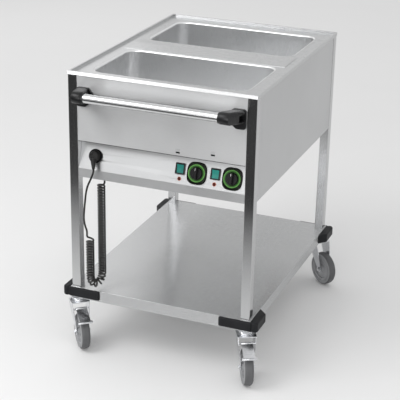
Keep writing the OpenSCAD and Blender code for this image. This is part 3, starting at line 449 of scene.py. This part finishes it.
def cord_piece():
    line = cord_points()
    line.reverse()
    curve = bpy.data.curves.new("curly_cord", "CURVE")
    curve.dimensions = "3D"
    curve.bevel_depth = CORD_D / 2 * MM
    curve.bevel_resolution = 3
    curve.use_fill_caps = True
    spline = curve.splines.new("POLY")
    spline.points.add(len(line) - 1)
    points = [local(*p) for p in line]
    for point, place in zip(spline.points, points):
        point.co = (*place, 1)
    spline.use_smooth = True
    cord = bpy.data.objects.new("curly_cord", curve)
    bpy.context.scene.collection.objects.link(cord)
    curve.materials.append(LOOKS["cord_rubber"])
    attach(cord, "trolley")
    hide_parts("cord_lead", "cord_curls", "cord_tail")


cord_piece()

# ---- Small trims: what the solids leave out ----

# The sloping panel and what sits on it, in millimetres, as the solids have them, but for
# KNOB_LIFT: theirs is 4.3, so the grips and pointer lines stand 0.2 further out
FACE_SETBACK, SLOPE_RISE = 32.0, 95.0
SLOPE_TILT = math.atan2(FACE_SETBACK, SLOPE_RISE)
SEAM_Z = FOLD_Z + SLOPE_RISE
DIAL_UP, LAMP_UP, PARK_UP = 43.0, 17.0, 47.0
SWITCH_GAP = 57.6
PLATE_T, KNOB_LIFT, KNOB_D, KNOB_H = 4.0, 4.5, 41.0, 18.0


def middle_x(node):
    """The middle of a node, across the trolley, in its own frame's millimetres."""
    low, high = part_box(node)
    return (low[0] + high[0]) / 2 / MM + MID.x / MM


def on_slope(x, up, out=0.0):
    """A place on the sloping panel: the axes run across it, up it and out of it."""
    foot = Matrix.Translation(local(x, FACE_Y, FOLD_Z))
    turn = Matrix.Rotation(math.pi / 2 - SLOPE_TILT, 4, "X")
    return foot @ turn @ Matrix.Translation(Vector((0, up, out)) * MM)


def loft(form, loops, ring=False, looks=None):
    """Skin over loops of as many points each: a ring joins the last to the first, and
    otherwise both ends are capped. looks gives the material index of each band."""
    rows = [[form.verts.new(Vector(p) * MM) for p in loop] for loop in loops]
    bands = list(zip(rows, rows[1:])) + ([(rows[-1], rows[0])] if ring else [])
    for k, (a, b) in enumerate(bands):
        for i in range(len(a)):
            j = (i + 1) % len(a)
            face = form.faces.new((a[i], a[j], b[j], b[i]))
            face.material_index = looks[k] if looks else 0
    if not ring:
        form.faces.new(rows[0][::-1])
        form.faces.new(rows[-1])


def circle(r, z=0.0, sides=64):
    return [(r * math.cos(2 * math.pi * i / sides), r * math.sin(2 * math.pi * i / sides), z)
            for i in range(sides)]


def piece(name, form, looks, body="trolley", sharp=40):
    bmesh.ops.recalc_face_normals(form, faces=form.faces)
    mesh = bpy.data.meshes.new(name)
    form.to_mesh(mesh)
    form.free()
    for look in looks:
        mesh.materials.append(LOOKS[look])
    mesh.shade_smooth()
    mesh.set_sharp_from_angle(angle=math.radians(sharp))
    made = bpy.data.objects.new(name, mesh)
    bpy.context.scene.collection.objects.link(made)
    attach(made, body)
    return made


def many(places, build):
    """One mesh of a small form built once at each place."""
    whole = bmesh.new()
    for place in places:
        start = len(whole.verts)
        build(whole)
        whole.verts.ensure_lookup_table()
        bmesh.ops.transform(whole, matrix=place, verts=whole.verts[start:])
    return whole


# The dials' faces and scales take the place of the solids' plainer ones
DIAL_HALF_W, DIAL_HALF_H, DIAL_SQUARENESS = 33.75, 36.5, 3.0
DIAL_SIDES, RING_SIDES, RIM_SIDES = 120, 96, 48
SHAFT_HOLE_R = 3.5
# How far each step of the dial lies in from its outline, and its height
DIAL_STEPS = ((0, 0), (0, 2.0), (0.3, 2.5), (1.3, 3.1), (2.0, 3.7), (2.7, PLATE_T))
# The scale ring's section, radius and height: a dim inner band, then the bright one
RING_SECTION = ((21.3, 0), (21.3, 1.2), (21.8, 1.5), (25.2, 1.5), (25.5, 1.9), (26.0, 2.1),
                (28.0, 2.1), (28.5, 1.8), (28.7, 1.2), (28.7, 0))
DIM_BANDS = 4
TICK_R, TICK_L, TICK_W, TICK_T, TICK_SINK = 30.0, 2.4, 0.8, 0.25, 0.05
TICK_TAPER = 0.8
SWEEP, TICK_STEP = 135, 27                     # degrees either way from the top


def dial_outline(inset, z):
    """The dial's outline: a square whose sides and corners swell into one curve."""
    loop = []
    for i in range(DIAL_SIDES):
        turn = 2 * math.pi * i / DIAL_SIDES
        c, s = math.cos(turn), math.sin(turn)
        reach = ((abs(c) / (DIAL_HALF_W - inset)) ** DIAL_SQUARENESS
                 + (abs(s) / (DIAL_HALF_H - inset)) ** DIAL_SQUARENESS) ** (-1 / DIAL_SQUARENESS)
        loop.append((reach * c, reach * s, z))
    return loop


def dial_face(form):
    loops = [dial_outline(inset, z) for inset, z in DIAL_STEPS]
    loops += [circle(SHAFT_HOLE_R, z, DIAL_SIDES) for z in (PLATE_T, 0)]
    loft(form, loops, ring=True)


def dial_ring(form):
    looks = [int(band < DIM_BANDS) for band in range(len(RING_SECTION))]
    loft(form, [circle(r, z, RING_SIDES) for r, z in RING_SECTION], ring=True, looks=looks)


def dial_tick(form):
    half, ends = TICK_W / 2, (TICK_R, TICK_R + TICK_L)
    outline = [(-half, ends[0]), (half, ends[0]), (half, ends[1]), (-half, ends[1])]
    loft(form, [[(x, y, 0) for x, y in outline],
                [(x * TICK_TAPER, y, TICK_T) for x, y in outline]])


DIAL_XS = [middle_x(node) for node in ("knob_one", "knob_two")]
faces = piece("dial_faces", many([on_slope(x, DIAL_UP) for x in DIAL_XS], dial_face),
              ["dial_black"])
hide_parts("dial_plates")
rings = piece("dial_scales", many([on_slope(x, DIAL_UP, PLATE_T) for x in DIAL_XS], dial_ring),
              ["ring_green", "ring_dim"])
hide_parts("dial_rings")
TICKS = [on_slope(x, DIAL_UP, PLATE_T - TICK_SINK) @ Matrix.Rotation(math.radians(a), 4, "Z")
         for x in DIAL_XS for a in range(-SWEEP, SWEEP + 1, TICK_STEP)]
piece("dial_ticks", many(TICKS, dial_tick), ["ring_dim"])


DOME = (0, 0.8, 1.57, 2.34, 3.14, 4.71)         # angles round a rib with a flat underside
ROUND = (0, 1.05, 2.09, 3.14, 4.19, 5.24)      # angles round a small bead
GRIP_X, GRIP_SINK = 3.6, 0.1
# Place along the bar and radius, and height on the skirt and radius
GRIP_STEPS = ((-14.6, 0.15), (-14.2, 0.4), (-13.4, 0.55), (13.4, 0.55), (14.2, 0.4),
              (14.6, 0.15))
FLUTE_STEPS = ((0.5, 0.25), (0.9, 0.4), (4.1, 0.4), (4.7, 0.2))
FLUTES = 40


def knob_grip(form):
    """Two raised ribs along the finger bar, and fine flutes round the skirt."""
    for x in (-GRIP_X, GRIP_X):
        loft(form, [[(x + r * math.cos(a), y, KNOB_H - GRIP_SINK + r * math.sin(a))
                     for a in DOME] for y, r in GRIP_STEPS])
    for at in circle(KNOB_D / 2, sides=FLUTES):
        loft(form, [[(at[0] + r * math.cos(b), at[1] + r * math.sin(b), z) for b in ROUND]
                    for z, r in FLUTE_STEPS])


LINE_TOP, LINE_T = KNOB_H - 0.55, 1.0


def knob_line(form):
    """The pointer: a pale line laid in the notch at the bar's upper end."""
    outline = [(-0.85, 8.7), (0.85, 8.7), (0.85, 15.9), (0.4, 16.3), (-0.4, 16.3), (-0.85, 15.9)]
    loft(form, [[(x, y, z) for x, y in outline] for z in (LINE_TOP - LINE_T, LINE_TOP)])


for node, x in zip(("knob_one", "knob_two"), DIAL_XS):
    place = [on_slope(x, DIAL_UP, KNOB_LIFT)]
    piece(node + "_grip", many(place, knob_grip), ["knob_black"], node)
    piece(node + "_line", many(place, knob_line), ["knob_mark"], node)


# Rings round the lamps, in the pale orange of the painted glow
RIM_SECTION = ((5.1, 0), (5.1, 1.0), (5.5, 1.5), (6.2, 1.4), (6.6, 0.8), (6.7, 0))


def lamp_rim(form):
    loft(form, [circle(r, z, RIM_SIDES) for r, z in RIM_SECTION], ring=True)


piece("lamp_glow_rims", many([on_slope(x - SWITCH_GAP, LAMP_UP) for x in DIAL_XS], lamp_rim),
      ["lamp_rim"])

# Ribs of the plug's strain relief, round the cone from its side outlet to the lead
RELIEF_TOP = on_slope(PLUG_X, PARK_UP, 15) @ Vector((0, -0.012, 0))
RELIEF_FOOT = local(PLUG_X + 8, FACE_Y - 21, FOLD_Z + 14)
RELIEF_TOP_R, RELIEF_FOOT_R = 9.6, 4.6
RIBS, FIRST_RIB, RIB_STEP = 7, 0.14, 0.125     # places are shares of the cone's length
RIB_OUT, RIB_HALF, RIB_PROUD, RIB_SIDES = 0.55, 0.9, 0.1, 28


def relief_ribs(form):
    way = RELIEF_FOOT - RELIEF_TOP
    turn = way.to_track_quat("Z", "X").to_matrix().to_4x4()
    for k in range(RIBS):
        share = FIRST_RIB + k * RIB_STEP
        r = RELIEF_TOP_R + (RELIEF_FOOT_R - RELIEF_TOP_R) * share
        start = len(form.verts)
        loft(form, [circle(r + RIB_OUT * math.cos(a) + RIB_PROUD, RIB_HALF * math.sin(a),
                           RIB_SIDES) for a in ROUND], ring=True)
        form.verts.ensure_lookup_table()
        bmesh.ops.transform(form, verts=form.verts[start:],
                            matrix=Matrix.Translation(RELIEF_TOP + way * share) @ turn)


piece("plug_ribs", many([Matrix()], relief_ribs), ["plug_rubber"])

# Printed marks over the switches: a dash, and a row of plain waves above it
PANEL_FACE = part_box("front_panel")[0][1]
MARK_SINK, MARK_PROUD = 0.05, 0.18
DASH_HALF, DASH_W = 7, 5.4
WAVE_XS, WAVE_UP, WAVE_HALF, WAVE_W = (-6, -2, 2, 6), 8.5, 4, 0.9
WAVE_SWING, WAVE_RATE = 0.9, 0.9
MARK_PLACES = ((62.5, 766.0), (182.0, 775.0))


def bar_mark(form, points, wide):
    """A printed stroke along points of the front panel, x and z, in millimetres."""
    left, right = [], []
    for i, p in enumerate(points):
        a, b = Vector(points[max(i - 1, 0)]), Vector(points[min(i + 1, len(points) - 1)])
        out = Vector((a.y - b.y, b.x - a.x)).normalized() * wide / 2
        left.append(Vector(p) + out)
        right.append(Vector(p) - out)
    outline = left + right[::-1]
    loft(form, [[(q.x, y, q.y) for q in outline] for y in (MARK_SINK, -MARK_PROUD)])


def dash(form):
    bar_mark(form, [(-DASH_HALF, 0), (DASH_HALF, 0)], DASH_W)


def waves(form):
    for x in WAVE_XS:
        bar_mark(form, [(x + WAVE_SWING * math.sin(z * WAVE_RATE), WAVE_UP + z)
                        for z in range(-WAVE_HALF, WAVE_HALF + 1)], WAVE_W)


MARKS = [Matrix.Translation((local(x, 0, 0).x, PANEL_FACE, z * MM)) for x, z in MARK_PLACES]
piece("panel_dashes", many(MARKS, dash), ["print_and_shadow_black"])
piece("panel_waves", many(MARKS, waves), ["print_grey"])

PANEL_LEFT, PANEL_RIGHT = (corner[0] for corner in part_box("front_panel"))
SEAM_HALF, SEAM_PROUD, SEAM_END = 0.6, 0.7, 1.5


def seam(form):
    """A black strip along the joint between the front panel and the slope: painted shadow under the panel's lower
    edge.
    """
    half = (PANEL_RIGHT - PANEL_LEFT) / 2 / MM - SEAM_END
    outline = [(-SEAM_HALF, 0), (SEAM_HALF, 0), (SEAM_HALF, SEAM_PROUD), (-SEAM_HALF, SEAM_PROUD)]
    loft(form, [[(x, -y, SEAM_Z + z) for z, y in outline] for x in (-half, half)])


# The seam strip is painted shadow, in the black of the printed marks
SEAM_AT = Matrix.Translation(((PANEL_LEFT + PANEL_RIGHT) / 2, PANEL_FACE, 0))
piece("panel_seam_shadow", many([SEAM_AT], seam), ["print_and_shadow_black"])


# ---- Edges: sheet, cast and moulded edges are slightly rounded, by their slot ----

# Radius in millimetres
EDGES = {"top_steel": 0.8, "panel_steel": 0.5, "shelf_steel": 0.8, "bracket_plastic": 1.2,
         "knob_black": 0.7, "switch_black": 0.5, "rocker_teal": 0.6, "caster_zinc": 0.4,
         "valve_brass": 0.4, "lever_red": 0.5, "regulator_grey": 0.8, "screw_zinc": 0.3,
         "plug_rubber": 0.8, "socket_black": 0.6, "bumper_plastic": 1.0}
WELD_REACH, EDGE_ANGLE, EDGE_SEGMENTS = 0.00001, 35, 2


def soften(node, width):
    o = nodes[node]
    weld = o.modifiers.new("weld", "WELD")
    weld.merge_threshold = WELD_REACH
    bevel = o.modifiers.new("bevel", "BEVEL")
    bevel.width = width * MM
    bevel.segments = EDGE_SEGMENTS
    bevel.limit_method = "ANGLE"
    bevel.angle_limit = math.radians(EDGE_ANGLE)
    bevel.use_clamp_overlap = True
    bevel.harden_normals = True


for name in nodes:
    if slot_of(name) in EDGES:
        soften(name, EDGES[slot_of(name)])


# ---- Floor, backdrop and light ----

FLOOR_TONE, FLOOR_HALF = 0.82, 30.0
HORIZON_TONE, HORIZON_LOW, HORIZON_HIGH = 0.8, 0.05, 0.5
# Tone, size and height of the dark card, painted shade seen only in reflections
SURROUND_TONE, SURROUND_HALF, SURROUND_Z = 0.045, 9.0, 0.004


def flat_sheet(name, half):
    """A square sheet on the floor, with a material of its own."""
    mesh = bpy.data.meshes.new(name)
    form = bmesh.new()
    bmesh.ops.create_grid(form, x_segments=1, y_segments=1, size=half)
    form.to_mesh(mesh)
    form.free()
    sheet = bpy.data.objects.new(name, mesh)
    bpy.context.scene.collection.objects.link(sheet)
    material, n, shader = new_material(name)
    mesh.materials.append(material)
    return sheet, n, shader


def floor_piece():
    floor, n, shader = flat_sheet("floor", FLOOR_HALF)
    shader.inputs["Roughness"].default_value = 0.9
    shader.inputs["Specular IOR Level"].default_value = 0.1
    soft = n.noise(3)
    n.set(shader, "Base Color", n.mix(soft, (FLOOR_TONE,) * 3, (FLOOR_TONE * 0.98,) * 3))


def world_light(strength):
    """White overhead, a little darker towards the horizon."""
    world = bpy.data.worlds.new("world")
    bpy.context.scene.world = world
    world.use_nodes = True
    n = Nodes(world)
    way = n.add("ShaderNodeTexCoord").outputs["Generated"]
    height = n.ramp(n.part(way, 2), HORIZON_LOW, HORIZON_HIGH)
    background = world.node_tree.nodes["Background"]
    n.set(background, "Color", n.mix(height, (HORIZON_TONE,) * 3, (1, 1, 1)))
    background.inputs["Strength"].default_value = strength


def soft_box(name, at, aim, size, watts):
    data = bpy.data.lights.new(name, "AREA")
    data.shape = "RECTANGLE"
    data.size, data.size_y = size
    data.energy = watts
    lamp = bpy.data.objects.new(name, data)
    lamp.location = at
    lamp.rotation_euler = (Vector(aim) - Vector(at)).to_track_quat("-Z", "Y").to_euler()
    lamp.visible_camera = False
    bpy.context.scene.collection.objects.link(lamp)


def dark_surround(inner, fade):
    """A dark sheet in front of the pale floor, which only reflections see: painted shade standing
    in for unlit studio floor. It starts at inner in front of the middle and darkens over fade."""
    card, n, shader = flat_sheet("shade_card", SURROUND_HALF)
    card.location.z = SURROUND_Z
    shader.inputs["Base Color"].default_value = (*(SURROUND_TONE,) * 3, 1)
    shader.inputs["Roughness"].default_value = 1.0
    shader.inputs["Specular IOR Level"].default_value = 0.0
    n.set(shader, "Alpha", n.ramp(n.part(n.place(), 1), -inner - fade, -inner, 1, 0))
    for kind in ("camera", "diffuse", "shadow", "transmission", "volume_scatter"):
        setattr(card, "visible_" + kind, False)


floor_piece()
dark_surround(inner=0.85, fade=0.95)
world_light(strength=0.82)
soft_box("key", at=(-1.8, -2.2, 3.2), aim=(0, 0, 0.6), size=(2.0, 2.0), watts=50)
soft_box("front", at=(0.85, -5.4, 2.0), aim=(0, 0, 0.9), size=(4.8, 2.8), watts=118)
soft_box("left_rear", at=(-3.4, 3.8, 2.2), aim=(0, 0, 0.9), size=(2.6, 2.2), watts=8)
bpy.context.scene.view_settings.view_transform = "Standard"
